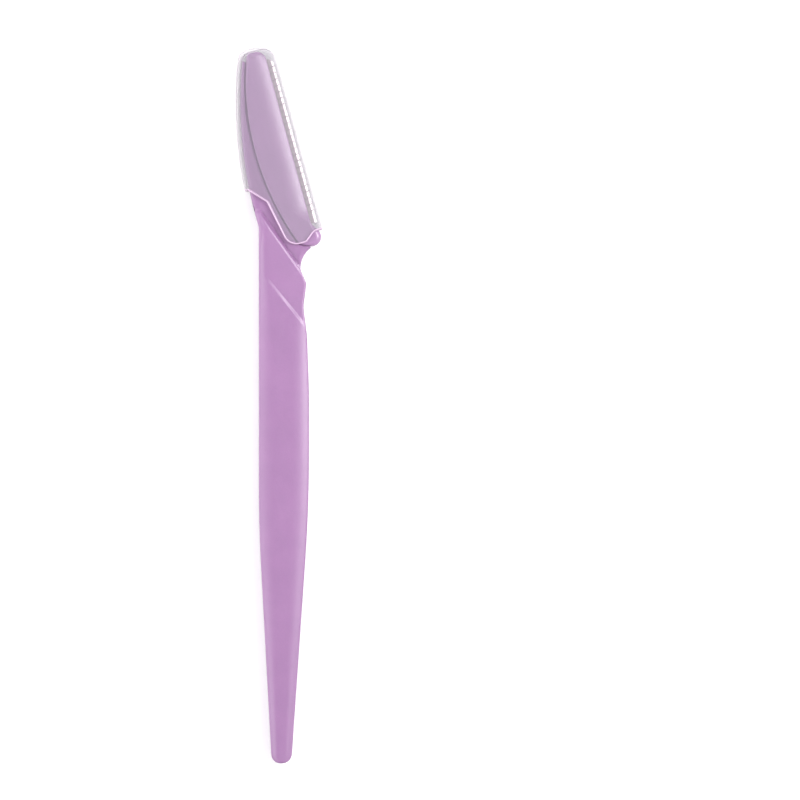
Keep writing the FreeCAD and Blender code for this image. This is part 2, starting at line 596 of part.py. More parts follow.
def make_cover(name, face):
    """One cover: face is 1 for the front, which carries the pins, and -1 for the rear, which takes them."""
    body = new_body(name)
    rear = face < 0
    outline = new_sketch(body, "cover_outline", height=f"{face} * Sizes.parting_gap / 2")
    tip_back = (f"{seam('Sizes.head_length')} + {HALF_GAP}", "Sizes.head_length")
    draw(outline, [
        Corner(*COVER_LIP, "Sizes.knob_blend"),
        Corner("0", "Sizes.head_length", "Sizes.tip_rounding"),
        Corner(*tip_back, arc=TIP_RADIUS, bulge="right"),
        Corner(f"{seam(CRESCENT_PEAK)} + {HALF_GAP}", CRESCENT_PEAK,
               arc="Sizes.crescent_radius", bulge="right"),
        Corner(*COVER_HEEL),
        Corner(*KNOB_LOW, arc="Sizes.knob_radius", bulge="right"),
        Corner(*KNOB_SIDE, arc="Sizes.knob_radius", bulge="right"),
        Corner(*KNOB_HIGH),
    ])
    extrude(body, "Pad", "shell", outline, f"{HALF_HEAD} - Sizes.parting_gap / 2", "One side", rear)
    round_edges(body, "tip_back", "Sizes.tip_back_rounding", lambda edge: stands_on(edge, tip_back))
    round_edges(body, "heel_back", "Sizes.heel_rounding", lambda edge: stands_on(edge, COVER_HEEL))
    round_edges(body, "shell_rim", "Sizes.cover_edge_rounding",
                lambda edge: on_outer_rim(body.Tip.Shape, edge))

    # The cheek slopes in a hollow from the crest down to the thin lip along the blade
    cheek = new_sketch(body, "cheek_section", "XZ_Plane", "Sizes.cheek_foot")
    draw(cheek, [
        Corner("-Sizes.cheek_width", f"{face} * {HALF_HEAD}", arc="Sizes.cheek_radius",
               bulge="left" if rear else "right"),
        Corner("-Sizes.lip_width", f"{face} * Sizes.lip_thickness"),
        Corner("Sizes.lip_width", f"{face} * Sizes.lip_thickness"),
        Corner("Sizes.lip_width", f"{face} * Sizes.head_thickness"),
        Corner("-Sizes.cheek_width", f"{face} * Sizes.head_thickness"),
    ])
    extrude(body, "Pocket", "cheek", cheek, "Sizes.cheek_foot + Sizes.head_length", "One side")

    # The recess holds half the tang and half the wound blade
    recess = new_sketch(body, "recess_outline")
    wall = f"({TANG_EDGE} + Sizes.blade_clearance)"
    draw(recess, [
        Corner(f"-{PAST_ALL}", "-Sizes.tang_heel - Sizes.blade_clearance"),
        Corner(wall, "-Sizes.tang_heel - Sizes.blade_clearance"),
        Corner(wall, "-Sizes.blade_heel - Sizes.blade_clearance"),
        Corner(PAST_ALL, "-Sizes.blade_heel - Sizes.blade_clearance"),
        Corner(PAST_ALL, f"{BLADE_TIP} + Sizes.blade_clearance"),
        Corner(f"-{PAST_ALL}", f"{BLADE_TIP} + Sizes.blade_clearance"),
    ])
    extrude(body, "Pocket", "recess", recess, COVER_FLOOR, "One side", not rear)

    if rear:
        sockets = new_sketch(body, "sockets")
        draw_pins(sockets, "Sizes.pin_diameter / 2 + Sizes.pin_clearance")
        depth = f"{COVER_FLOOR} + Sizes.pin_grip + Sizes.pin_floor"
        extrude(body, "Pocket", "pin_sockets", sockets, depth, "One side")
    else:
        pins = new_sketch(body, "pins", height=COVER_FLOOR)
        draw_pins(pins, "Sizes.pin_diameter / 2")
        extrude(body, "Pad", "cover_pins", pins, f"2 * {COVER_FLOOR} + Sizes.pin_grip", "One side", True)
    return place_in_razor(body, in_head=True)


# Blade: a stainless strip, ground to an edge on both faces

def make_blade():
    body = new_body("blade")
    section = new_sketch(body, "blade_section", "XZ_Plane", "Sizes.blade_heel")
    half = "Sizes.blade_thickness / 2"
    shoulder = "Sizes.blade_exposure - Sizes.bevel_width"
    draw(section, [
        Corner(BLADE_SPINE, f"-{half}"),
        Corner(shoulder, f"-{half}"),
        Corner("Sizes.blade_exposure", "-Sizes.edge_land / 2"),
        Corner("Sizes.blade_exposure", "Sizes.edge_land / 2"),
        Corner(shoulder, half),
        Corner(BLADE_SPINE, half),
    ])
    extrude(body, "Pad", "strip", section, f"Sizes.blade_heel + {BLADE_TIP}", "One side", True)
    corner = new_sketch(body, "tip_corner")
    draw(corner, [
        Corner("Sizes.blade_exposure - Sizes.blade_corner", BLADE_TIP),
        Corner("Sizes.blade_exposure", f"{BLADE_TIP} - Sizes.blade_corner"),
        Corner("Sizes.blade_exposure + Sizes.blade_corner", BLADE_TIP),
        Corner("Sizes.blade_exposure", f"{BLADE_TIP} + Sizes.blade_corner"),
    ])
    extrude(body, "Pocket", "corner_cut", corner, "Sizes.head_thickness")
    return place_in_razor(body, in_head=True)


# Guard wire: one unbroken winding round the blade, held inside the covers

def biarc(start, start_way, end, end_way):
    """Two arcs that lead smoothly from one place and way to another."""
    span = end - start
    ways = start_way + end_way
    a = 2 * (1 - start_way.dot(end_way))
    b = 2 * span.dot(ways)
    reach = (-b + math.sqrt(b ** 2 + 4 * a * span.dot(span))) / (2 * a)
    first_bend = start + start_way * reach
    last_bend = end - end_way * reach
    joint = (first_bend + last_bend) * 0.5
    arcs = []
    for begin, bend, finish in ((start, first_bend, joint), (joint, last_bend, end)):
        chord_middle = (begin + finish) * 0.5
        half = (finish - begin).Length / 2
        turn = 2 * math.atan2((bend - chord_middle).Length, half)
        top = chord_middle + (bend - chord_middle).normalize() * half * math.tan(turn / 4)
        arcs.append(Part.Arc(begin, top, finish))
    return arcs


def least_gap(path, diameter, bend):
    """Least clear distance of the winding to itself, on points more than one bend apart along it."""
    spacing = diameter / 2
    points = path.discretize(Distance=spacing)
    apart = math.ceil(bend / spacing)
    least = float("inf")
    for i, point in enumerate(points):
        for other in points[i + apart:]:
            if abs(other.y - point.y) < least:
                least = min(least, (other - point).Length)
    return least - diameter


def make_guard_wire():
    diameter = size("wire_diameter")
    clearance = size("wire_clearance")
    turns = int(size("wire_turns"))
    height = size("blade_thickness") / 2 + clearance + diameter / 2
    # Centres of the bends round the edge and round the spine of the blade
    edge = size("blade_exposure") + clearance + diameter / 2 - height
    spine = size("blade_exposure") - size("blade_width") - clearance - diameter / 2 + height
    first = size("wire_heel_margin") - size("blade_heel")
    last = sheet_value(BLADE_TIP) - size("wire_tip_margin")
    run = edge - spine
    bend = math.pi * height
    loop = 2 * run + 2 * bend
    pitch = (last - first) / (turns - (run + bend) / loop)
    run_rise = pitch * run / loop
    bend_rise = pitch * bend / loop
    out = FreeCAD.Vector(run, run_rise, 0).normalize()
    back = FreeCAD.Vector(-run, run_rise, 0).normalize()
    square = FreeCAD.Vector(1, 0, 0)
    # Both ends run square to the tang and stop just short of it
    end_across = sheet_value(TANG_EDGE) + clearance / 2
    curves = []
    along = first
    for turn in range(turns):
        is_first = turn == 0
        is_last = turn == turns - 1
        start = FreeCAD.Vector(end_across if is_first else spine, along, height)
        along += 0 if is_first else run_rise
        at_edge = FreeCAD.Vector(edge, along, height)
        curves.append(Part.LineSegment(start, at_edge))
        along += bend_rise
        past_edge = FreeCAD.Vector(edge, along, -height)
        curves += biarc(at_edge, square if is_first else out, past_edge, -square if is_last else back)
        along += 0 if is_last else run_rise
        at_spine = FreeCAD.Vector(end_across if is_last else spine, along, -height)
        curves.append(Part.LineSegment(past_edge, at_spine))
        if not is_last:
            along += bend_rise
            curves += biarc(at_spine, back, FreeCAD.Vector(spine, along, height), out)
    path = Part.Wire([curve.toShape() for curve in curves])
    circle = Part.Circle(curves[0].StartPoint, square, diameter / 2)
    tube = path.makePipeShell([Part.Wire(circle.toShape())], True, False)
    expected = math.pi * diameter ** 2 / 4 * path.Length
    print("guard wire: %.0f mm long, least gap to itself %.3f mm, volume %.4f of its length times its section"
          % (path.Length, least_gap(path, diameter, bend), tube.Volume / expected))
    piece = doc.addObject("Part::Feature", "guard_wire")
    piece.Label = "guard_wire"
    piece.Shape = tube
    place = FreeCAD.Vector(*[sheet_value(f) for f in (HEEL_X, HEEL_Y, HALF_HANDLE)])
    piece.Placement = FreeCAD.Placement(place, FreeCAD.Rotation(FreeCAD.Vector(0, 0, 1), size("blade_angle")))
    return piece


# Cap: a thin clear sleeve that slides on over the tip, with a tongue on each face

CAP_SIDE = f"(Sizes.blade_exposure + {WIRE_REACH} + Sizes.cap_clearance)"
CAP_TOP = "(Sizes.head_length + Sizes.cap_clearance)"


def cap_outline(sketch, blade_wall, tip_wall, back_wall, bottom):
    """Draws the cap's plan, as far outside its hollow as the given walls are thick."""
    back = f"(Sizes.cap_back_clearance + {back_wall})"
    draw(sketch, [
        Corner(f"{CAP_SIDE} + {blade_wall}", bottom),
        Corner(f"{CAP_SIDE} + {blade_wall}", f"{CAP_TOP} + {tip_wall}", f"Sizes.cap_rounding + {tip_wall}"),
        Corner(f"{SPINE_TIP} - {back} + Sizes.cap_shoulder", f"{CAP_TOP} + {tip_wall}",
               f"Sizes.cap_back_rounding + {tip_wall}"),
        Corner(f"{SPINE_TIP} - {back}", SPINE_END, arc="Sizes.spine_radius", bulge="right"),
        Corner(f"{SPINE_FOOT} - {back}", "Sizes.spine_foot"),
        Corner(f"{SPINE_FOOT} - {back}", bottom),
    ])


def make_cap():
    body = new_body("cap")
    outside = new_sketch(body, "outside_outline")
    below = "(-2 * Sizes.tongue_depth)"
    cap_outline(outside, "Sizes.cap_blade_wall", "Sizes.cap_tip_wall", "Sizes.cap_back_wall", below)
    hollow_height = "(Sizes.head_thickness + 2 * Sizes.cap_clearance)"
    extrude(body, "Pad", "sleeve", outside, f"{hollow_height} + 2 * Sizes.cap_face_wall")
    round_edges(body, "sleeve_rim", "Sizes.cap_edge_rounding", lambda edge: on_rim(body.Tip.Shape, edge))
    hollow = new_sketch(body, "hollow_outline")
    cap_outline(hollow, "0", "0", "0", f"-{PAST_ALL}")
    extrude(body, "Pocket", "hollow", hollow, hollow_height)

    # The mouth is trimmed to a line across the spine and a tongue over the heel on each face
    mouth = new_sketch(body, "mouth_outline")
    seam_side = f"({seam('Sizes.mouth_seam_height')} - Sizes.tongue_margin)"
    heel_side = f"({seam('(-Sizes.tongue_depth)')} - Sizes.tongue_heel_margin)"
    back_rise = "(Sizes.mouth_back_height - Sizes.mouth_seam_height)"
    back_slope = f"({back_rise} / ({seam_side} - {SPINE_FOOT}))"
    draw(mouth, [
        Corner(f"-{PAST_ALL}", f"Sizes.mouth_seam_height + {back_slope} * ({seam_side} + {PAST_ALL})"),
        Corner(f"-{PAST_ALL}", f"-{PAST_ALL}"),
        Corner(PAST_ALL, f"-{PAST_ALL}"),
        Corner(PAST_ALL, "-Sizes.mouth_edge_depth"),
        Corner(f"{KNOB_CENTRE} + Sizes.mouth_edge_run", "-Sizes.mouth_edge_depth - Sizes.mouth_edge_rise",
               "Sizes.mouth_edge_blend"),
        Corner(f"{heel_side} + Sizes.tongue_width", "-Sizes.tongue_depth", "Sizes.mouth_edge_blend"),
        Corner(heel_side, "-Sizes.tongue_depth", "Sizes.tongue_blend"),
        Corner(seam_side, "Sizes.mouth_seam_height", "Sizes.mouth_blend"),
    ])
    extrude(body, "Pocket", "mouth", mouth, PAST_ALL)
    return place_in_razor(body, in_head=True)


pieces = [
    make_handle(),
    make_cover("front_cover", 1),
    make_cover("rear_cover", -1),
    make_blade(),
    make_guard_wire(),
    make_cap(),
]
doc.recompute()
failed = [o.Name for o in doc.Objects if "Invalid" in o.State or "Error" in o.State]
failed += [p.Label for p in pieces if p.Shape.isNull() or not p.Shape.isValid()]
if failed:
    raise RuntimeError(f"failed: {failed}")
os.makedirs("parts", exist_ok=True)
for piece in pieces:
    piece.Shape.exportStep(f"parts/{piece.Label}.step")
    print("%-12s %8.2f mm3, %d solid" % (piece.Label, piece.Shape.Volume, len(piece.Shape.Solids)))
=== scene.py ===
"""Looks of the eyebrow razor: a lilac moulded handle and covers, a wire-wound blade and a frosted cap.

Sizes are millimetres in the razor's own frame: across the grip, along it to the tip, and up or down from the
plane in the middle of its thickness. The head is drawn in coordinates of its own, across from the blade lip
and along it from the heel corner.
"""

import math

import bmesh
import bpy
import numpy as np
from mathutils import Matrix, Vector


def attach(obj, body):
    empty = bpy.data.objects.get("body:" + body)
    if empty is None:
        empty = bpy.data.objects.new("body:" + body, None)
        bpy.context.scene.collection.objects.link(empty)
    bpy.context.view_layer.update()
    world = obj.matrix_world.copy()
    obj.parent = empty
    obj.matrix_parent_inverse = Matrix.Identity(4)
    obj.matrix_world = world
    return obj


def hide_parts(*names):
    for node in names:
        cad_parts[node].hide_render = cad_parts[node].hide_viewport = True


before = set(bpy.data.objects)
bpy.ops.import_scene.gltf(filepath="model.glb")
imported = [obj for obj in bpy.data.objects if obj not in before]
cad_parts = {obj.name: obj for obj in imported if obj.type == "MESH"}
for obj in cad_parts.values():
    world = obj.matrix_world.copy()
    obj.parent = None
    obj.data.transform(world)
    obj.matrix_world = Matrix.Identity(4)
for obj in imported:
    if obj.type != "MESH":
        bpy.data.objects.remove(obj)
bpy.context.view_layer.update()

# Handle: tapered grip, scooped neck, and the thin spine that curves up behind the covers, with the tang that
# they clamp. It is one moulding in ABS. Front and back are alike, so the upper face is drawn and mirrored.

MM = 0.001
MIDDLE = 2.3
HALF_GRIP = 5.25
HALF_HEAD = 1.45
TAIL = Vector((-0.5, -71.8))
TAIL_ROUNDING = 2
GRIP_SWELL = 330
WAIST = Vector((3.45, 31.5))
STEP_TOP = Vector((-HALF_GRIP, 43.95))
UNDER_KNOB = Vector((5.687, 36.135))
NECK_RADIUS = 5.4
BLADE_ANGLE = math.radians(15.3)
HEEL_CORNER = Vector((5.19, 42.845))
CRESCENT_RADIUS = 58.5
CRESCENT_WIDTH = 7.5
CRESCENT_PEAK = 15.5
HALF_SEAM = 0.15
SEAM_HEEL = -5.7
SEAM_HEEL_ROUNDING = 2.3
SEAM_START = -4.4
SEAM_TOP = 34.4
SEAM_PLACES = 120
SPINE_RADIUS = 92
SPINE_FOOT = (-10.74, 0.3)
SPINE_FOOT_ROUNDING = 3
SPINE_TIP = (-4.91, 34.7)
SPINE_END = (-4.73, 34.7)
SPINE_CORNER = (-4.41, 34.7)
SPINE_TIP_ROUNDING = 0.2
ARC_STEP = 0.3
CORNER_STEPS = 16


def in_razor(across, along):
    """Razor coordinates of a place given in the head's coordinates."""
    return HEEL_CORNER + Matrix.Rotation(BLADE_ANGLE, 2) @ Vector((across, along))


def seam(along):
    """Across-place of the seam's middle line at a height above the heel corner."""
    to_centre = math.sqrt(CRESCENT_RADIUS ** 2 - (along - CRESCENT_PEAK) ** 2)
    return CRESCENT_RADIUS - CRESCENT_WIDTH - to_centre


def spine_side(along):
    """A place on the spine's edge along the seam."""
    return in_razor(seam(along) - HALF_SEAM, along)


def arc(start, end, radius, bulge):
    """Places along the short arc from start to end, bulging to the left (1) or right (-1) of its way."""
    chord = end - start
    left = Vector((-chord.y, chord.x)).normalized()
    centre = (start + end) / 2 - bulge * left * math.sqrt(radius ** 2 - (chord.length / 2) ** 2)
    turn = 2 * math.asin(chord.length / 2 / radius)
    count = math.ceil(chord.length / ARC_STEP)
    turns = [Matrix.Rotation(-bulge * turn * step / count, 2) for step in range(count + 1)]
    return [centre + part_turn @ (start - centre) for part_turn in turns]


def rounded(*corners):
    """Places along a line through corners (place, radius), with each corner eased to its radius."""
    places = []
    for i, (corner, radius) in enumerate(corners):
        if not radius:
            places.append(corner)
            continue
        back = (corners[i - 1][0] - corner).normalized()
        ahead = (corners[i + 1][0] - corner).normalized()
        turn = math.pi - back.angle(ahead)
        start = corner + back * radius * math.tan(turn / 2)
        centre = corner + (back + ahead).normalized() * radius / math.cos(turn / 2)
        sense = 1 if back.cross(ahead) < 0 else -1
        turns = [Matrix.Rotation(sense * turn * step / CORNER_STEPS, 2) for step in range(CORNER_STEPS + 1)]
        places += [centre + part_turn @ (start - centre) for part_turn in turns]
    return places


class Edge:
    """One long edge of a piece's outline, from its lower end to its upper end."""

    # Half the stretch over which the edge's way is taken, and the least square of a span's length
    REACH = 0.02
    NEVER_ZERO = 1e-12

    def __init__(self, places, inward_side):
        self.places = np.array([tuple(place) for place in places])
        self.lengths = np.append(0, np.cumsum(np.hypot(*np.diff(self.places, axis=0).T)))
        self.inward_side = inward_side

    def at(self, length):
        """The place at a length along the edge."""
        return Vector([np.interp(length, self.lengths, self.places[:, axis]) for axis in (0, 1)])

    def inward(self, length):
        """The way into the piece, square to the edge, at a length along it."""
        way = (self.at(length + self.REACH) - self.at(length - self.REACH)).normalized()
        return Vector((-way.y, way.x)) * self.inward_side

    def length_at(self, place):
        """The length along the edge where it comes closest to a place."""
        spans = np.diff(self.places, axis=0)
        offsets = np.array(tuple(place)) - self.places[:-1]
        shares = (offsets * spans).sum(1) / np.maximum((spans ** 2).sum(1), self.NEVER_ZERO)
        shares = np.clip(shares, 0, 1)
        nearest = np.hypot(*(offsets - spans * shares[:, None]).T).argmin()
        return self.lengths[nearest] + shares[nearest] * np.hypot(*spans[nearest])


def spread(count, crowding):
    """Shares from 0 to 1, crowded towards both ends."""
    even = np.linspace(0, 1, count + 1)
    return [share - crowding * math.sin(2 * math.pi * share) / (2 * math.pi) for share in even]


def soft_min(a, b, ease):
    """The lesser of two heights, with their meeting eased."""
    return min(a, b) - max(ease - abs(a - b), 0) ** 2 / ease / 4


def soft_max(a, b, ease):
    """The greater of two heights, with their meeting eased."""
    return -soft_min(-a, -b, ease)


# A rounded edge, as shares of its width in from the wall and of its depth below the face
EDGE_STEPS = 6
EDGE_SHAPE = [(1 - math.cos(a), 1 - math.sin(a)) for a in np.linspace(0, math.pi / 2, EDGE_STEPS + 1)]


def sections(left, right, rows, shares, left_rounding, right_rounding, height, underside,
             between=Vector.lerp):
    """Closed sections of a moulding between two edges, from its lower end to its upper end.

    rows are pairs of places, left and right, with the number of rows on to the next pair and their crowding.
    shares place the columns on the line that between draws across a row. The roundings are places along an
    edge, with the width and depth of its rounding there. height gives the upper face over the middle plane,
    and underside the rest of a section.
    """
    stations = []
    for (left_low, right_low, count, crowding), (left_high, right_high, _, _) in zip(rows, rows[1:]):
        start = np.array((left.length_at(left_low), right.length_at(right_low)))
        end = np.array((left.length_at(left_high), right.length_at(right_high)))
        stations += [start + (end - start) * share for share in spread(count, crowding)[:-1]]
    stations.append(end)
    rings = []
    for station in stations:
        strips = []
        for edge, rounding, length in zip((left, right), (left_rounding, right_rounding), station):
            spots = [edge.length_at(place) for place, _, _ in rounding]
            width, depth = (np.interp(length, spots, [spot[i] for spot in rounding]) for i in (1, 2))
            wall = edge.at(length)
            inward = edge.inward(length)
            top = height(*(wall + inward * width))
            strips.append([(*(wall + inward * width * across), top - depth * down)
                           for across, down in EDGE_SHAPE])
        inner_left, inner_right = (Vector(strip[-1][:2]) for strip in strips)
        places = [between(inner_left, inner_right, share) for share in shares[1:-1]]
        upper = strips[0] + [(*place, height(*place)) for place in places] + strips[1][::-1]
        rings.append(upper + underside(upper))
    return rings


WELD = 0.0001
SHARP_ANGLE = math.radians(40)


def skin(name, rings, trim=range(0)):
    """A mesh object over closed sections in millimetres. The sections in trim get its second material."""
    count = len(rings[0])
    faces = [(i * count + j, i * count + (j + 1) % count,
              (i + 1) * count + (j + 1) % count, (i + 1) * count + j)
             for i in range(len(rings) - 1) for j in range(count)]
    mesh = bpy.data.meshes.new(name)
    mesh.from_pydata([Vector((x, y, z + MIDDLE)) * MM for ring in rings for x, y, z in ring], [], faces)
    for face in mesh.polygons:
        face.material_index = face.index // count in trim
    shape = bmesh.new()
    shape.from_mesh(mesh)
    bmesh.ops.remove_doubles(shape, verts=shape.verts, dist=WELD * MM)
    bmesh.ops.recalc_face_normals(shape, faces=shape.faces)
    shape.to_mesh(mesh)
    shape.free()
    piece = bpy.data.objects.new(name, mesh)
    bpy.context.scene.collection.objects.link(piece)
    return piece


def fit(piece, body, slot, node, *materials):
    """Finishes a piece: smooth faces between sharp edges, its materials, and its place in the razor."""
    piece.data.shade_smooth()
    piece.data.set_sharp_from_angle(angle=SHARP_ANGLE)
    for material in materials:
        piece.data.materials.append(material)
    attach(piece, body)
    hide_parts(node)


# The two edges from tail to tip. Round stretches give up their end places to the eased corners beside them
spine_foot = in_razor(*SPINE_FOOT)
spine_tip = in_razor(*SPINE_TIP)
spine_end = in_razor(*SPINE_END)
spine_back = arc(spine_foot, spine_tip, SPINE_RADIUS, 1)
seam_heel = spine_side(SEAM_HEEL)
seam_line = [spine_side(along) for along in np.linspace(SEAM_START, SEAM_TOP, SEAM_PLACES)]
neck_hollow = arc(WAIST, UNDER_KNOB, NECK_RADIUS, 1)
left_edge = Edge(rounded(
    (TAIL, 0),
    (Vector((-2.55, TAIL.y)), TAIL_ROUNDING),
    (Vector((-HALF_GRIP, -22.2)), GRIP_SWELL),
    (spine_foot, SPINE_FOOT_ROUNDING),
    (spine_back[6], 0),
) + spine_back[7:-2] + rounded(
    (spine_back[-3], 0),
    (spine_tip, SPINE_TIP_ROUNDING),
    (spine_end, 0),
), -1)
right_edge = Edge(rounded(
    (TAIL, 0),
    (Vector((1.55, TAIL.y)), TAIL_ROUNDING),
    (Vector((HALF_GRIP, -18.1)), GRIP_SWELL),
    (Vector((HALF_GRIP, 6)), 165),
    (Vector((4.85, 17.5)), 9),
    (Vector((4.05, 23.7)), 9),
    (Vector((4.7, 28.6)), 1),
    (WAIST, 0),
) + neck_hollow[1:-1] + rounded(
    (neck_hollow[-2], 0),
    (UNDER_KNOB, 0.05),
    (seam_heel, SEAM_HEEL_ROUNDING),
    (seam_line[0], 0),
) + seam_line[1:-2] + rounded(
    (seam_line[-3], 0),
    (in_razor(*SPINE_CORNER), SPINE_TIP_ROUNDING),
    (spine_end, 0),
), 1)

CROWN_DROP = 0.7
CROWN_FLAT = 0.3
NECK_FLAT = 0.6
NECK_START = 18
NECK_TOP = 30
TAPER_TOP = -5
CREASE_ANGLE = math.radians(39)
CREASE_ALONG = 25
CREASE_START = -0.13
CREASE_END = 0.45
CREASE_REACH = (-3, 4)
CREASE_EASE = (0.04, 0.3)
FACET_DEPTH = 0.18
FACET_FALL = 0.06
FACET_TILT = 0.035
STEP_SLOPE = 2.2
STEP_FOOT = 0.3
STEP_EASE = 0.2
RIDGE_WIDTH = 0.5
RIDGE_SLOPE = 0.42
ARM_DIP = 0.5
ARM_SPREAD = 3
ARM_FADE = 6
BEVEL_LOW = 1.1
BEVEL_SLOPE = 0.32
BEVEL_END_SLOPE = 5
BEVEL_EASE = 0.1
step_way = (STEP_TOP - WAIST).normalized()
step_across = Vector((step_way.y, -step_way.x))
neck_chord = UNDER_KNOB - WAIST
neck_centre = ((WAIST + UNDER_KNOB) / 2 + Vector((neck_chord.y, -neck_chord.x)).normalized()
               * math.sqrt(NECK_RADIUS ** 2 - (neck_chord.length / 2) ** 2))


def handle_height(across, along):
    """Half the handle's thickness at a place: crown, facet under its crease, step to the arm, bevel."""
    level = min(along, TAPER_TOP)
    low, high = (np.interp(level, edge.places[:, 1], edge.places[:, 0])
                 for edge in (left_edge, right_edge))
    off = min(abs(across - (low + high) / 2) / ((high - low) / 2), 1)
    flat = np.interp(along, (NECK_START, NECK_TOP), (CROWN_FLAT, NECK_FLAT))
    face = MIDDLE - CROWN_DROP * (max(off - flat, 0) / (1 - flat)) ** 2
    rise = along - CREASE_ALONG
    past_crease = across * math.cos(CREASE_ANGLE) + rise * math.sin(CREASE_ANGLE)
    up_crease = rise * math.cos(CREASE_ANGLE) - across * math.sin(CREASE_ANGLE)
    facet = MIDDLE - FACET_DEPTH + FACET_TILT * up_crease - FACET_FALL * past_crease
    facet = soft_min(face, facet, np.interp(up_crease, CREASE_REACH, CREASE_EASE))
    face += (facet - face) * np.interp(past_crease, (CREASE_START, CREASE_END), (0, 1))
    place = Vector((across, along))
    past_step = (place - WAIST).dot(step_across)
    face -= RIDGE_SLOPE * max(past_step + RIDGE_WIDTH, 0)
    arm = HALF_HEAD - ARM_DIP * max(1 - max(past_step, 0) / ARM_SPREAD, 0) ** 2
    dip_share = np.interp(along, (STEP_TOP.y, STEP_TOP.y + ARM_FADE), (1, 0))
    arm = HALF_HEAD + (arm - HALF_HEAD) * dip_share
    step = arm + STEP_SLOPE * soft_max(STEP_FOOT - past_step, 0, STEP_EASE)
    face = min(face, step) if past_step < STEP_FOOT else arm
    bevel = BEVEL_LOW + BEVEL_SLOPE * ((place - neck_centre).length - NECK_RADIUS)
    bevel += BEVEL_END_SLOPE * max(-past_step, 0)
    return soft_min(face, bevel, BEVEL_EASE)


TANG_EDGE = -3.64
HALF_TANG = 0.42
TANG_HEEL = -2
TANG_TIP = 33.2
TANG_CORNER = 0.02
LEDGE = 0.26
LEDGE_HEIGHT = 0.95


def with_tang(upper):
    """The rest of a handle section: the seam's ledge, the tang beside it, and the upper face mirrored."""
    wall = Vector(upper[-1][:2])
    along = (Matrix.Rotation(-BLADE_ANGLE, 2) @ (wall - HEEL_CORNER)).y
    ledge = wall
    if wall.y > UNDER_KNOB.y and along < SEAM_TOP:
        ledge = wall - LEDGE * right_edge.inward(right_edge.length_at(wall))
    tang = ledge
    if wall.y > UNDER_KNOB.y and TANG_HEEL - TANG_CORNER / 2 < along < TANG_TIP + TANG_CORNER / 2:
        tang = in_razor(TANG_EDGE, along)
    right = [(*wall, LEDGE_HEIGHT), (*ledge, LEDGE_HEIGHT), (*ledge, HALF_TANG), (*tang, HALF_TANG)]
    left = [(*upper[0][:2], height) for height in (HALF_TANG, LEDGE_HEIGHT)]
    return right + [(x, y, -z) for x, y, z in reversed(left + upper + right)] + left


BEND_TOP = 8
heel_line = rounded((UNDER_KNOB, 0), (seam_heel, SEAM_HEEL_ROUNDING), (seam_line[0], 0))
heel_wall = Edge(heel_line + seam_line[1:-2], 1)
bend_places = (WAIST, UNDER_KNOB, seam_line[0], spine_side(BEND_TOP))
bend_lengths = [right_edge.length_at(place) for place in bend_places]


def past_heel(left_place, right_place, share):
    """A place across the handle: straight over the grip, and bent round the covers' heel above it."""
    straight = left_place.lerp(right_place, share)
    bend = np.interp(right_edge.length_at(right_place), bend_lengths, (0, 1, 1, 0))
    ends = []
    for place in (left_place, right_place):
        length = heel_wall.length_at(place)
        ends.append(Vector((length, (place - heel_wall.at(length)).length)))
    length, distance = ends[0].lerp(ends[1], share)
    return straight.lerp(heel_wall.at(length) + heel_wall.inward(length) * distance, bend)


# The rows follow the creases of the neck, and each end of the tang has two rows close together
HANDLE_COLUMNS = 44
COLUMN_CROWDING = 0.7
crease_way = Vector((-math.sin(CREASE_ANGLE), math.cos(CREASE_ANGLE)))
crease_middle = Vector((0, CREASE_ALONG))
handle_rows = (
    (TAIL, TAIL, 14, 0),
    (Vector((-3, -69)), Vector((3, -69)), 56, 0),
    (Vector((-HALF_GRIP, -8)), Vector((HALF_GRIP, -8)), 64, 0.9),
    (crease_middle + crease_way * 8.34, crease_middle - crease_way * 6.9, 56, 0.9),
    (WAIST + step_way * 17.9, WAIST, 40, 0.9),
    (in_razor(-10, 6.5), UNDER_KNOB, 14, 0.3),
    (in_razor(-9.5, 11), seam_line[0], 10, 0),
    (in_razor(-9.4, 12.3), spine_side(TANG_HEEL - TANG_CORNER), 1, 0),
    (in_razor(-9.4, 12.35), spine_side(TANG_HEEL), 70, 0),
    (in_razor(-5.15, 33.3), spine_side(TANG_TIP), 1, 0),
    (in_razor(-5.14, 33.35), spine_side(TANG_TIP + TANG_CORNER), 6, 0),
    (in_razor(-5, 34.3), in_razor(-4.45, 34.3), 8, 0),
    (spine_end, spine_end, 0, 0),
)
left_rounding = (
    (TAIL, 0.45, 0.45),
    (Vector((-HALF_GRIP, 36)), 0.45, 0.45),
    (in_razor(-10, 6), 1.5, 0.45),
    (in_razor(-7, 27), 0.9, 0.45),
    (in_razor(-5, 34), 0.18, 0.3),
)
right_rounding = (
    (TAIL, 0.45, 0.45),
    (Vector((5.1, 14)), 0.45, 0.45),
    (Vector((4.4, 21)), 0.35, 0.4),
    (Vector((4.6, 28)), 0.35, 0.4),
    (WAIST, 0.2, 0.25),
    (neck_hollow[5], 0.08, 0.1),
    (UNDER_KNOB, 0.03, 0.05),
    (seam_heel, 0.1, 0.1),
    (in_razor(-4.45, 34.3), 0.1, 0.1),
    (spine_end, 0.18, 0.3),
)
handle = skin("handle_moulding", sections(
    left_edge, right_edge, handle_rows, spread(HANDLE_COLUMNS, COLUMN_CROWDING),
    left_rounding, right_rounding, handle_height, with_tang, past_heel))


def linear(hex_colour):
    """Linear red, green, blue and alpha of an sRGB hex colour."""
    parts = [int(hex_colour[i:i + 2], 16) / 255 for i in (1, 3, 5)]
    return tuple(p / 12.92 if p <= 0.04045 else ((p + 0.055) / 1.055) ** 2.4 for p in parts) + (1,)


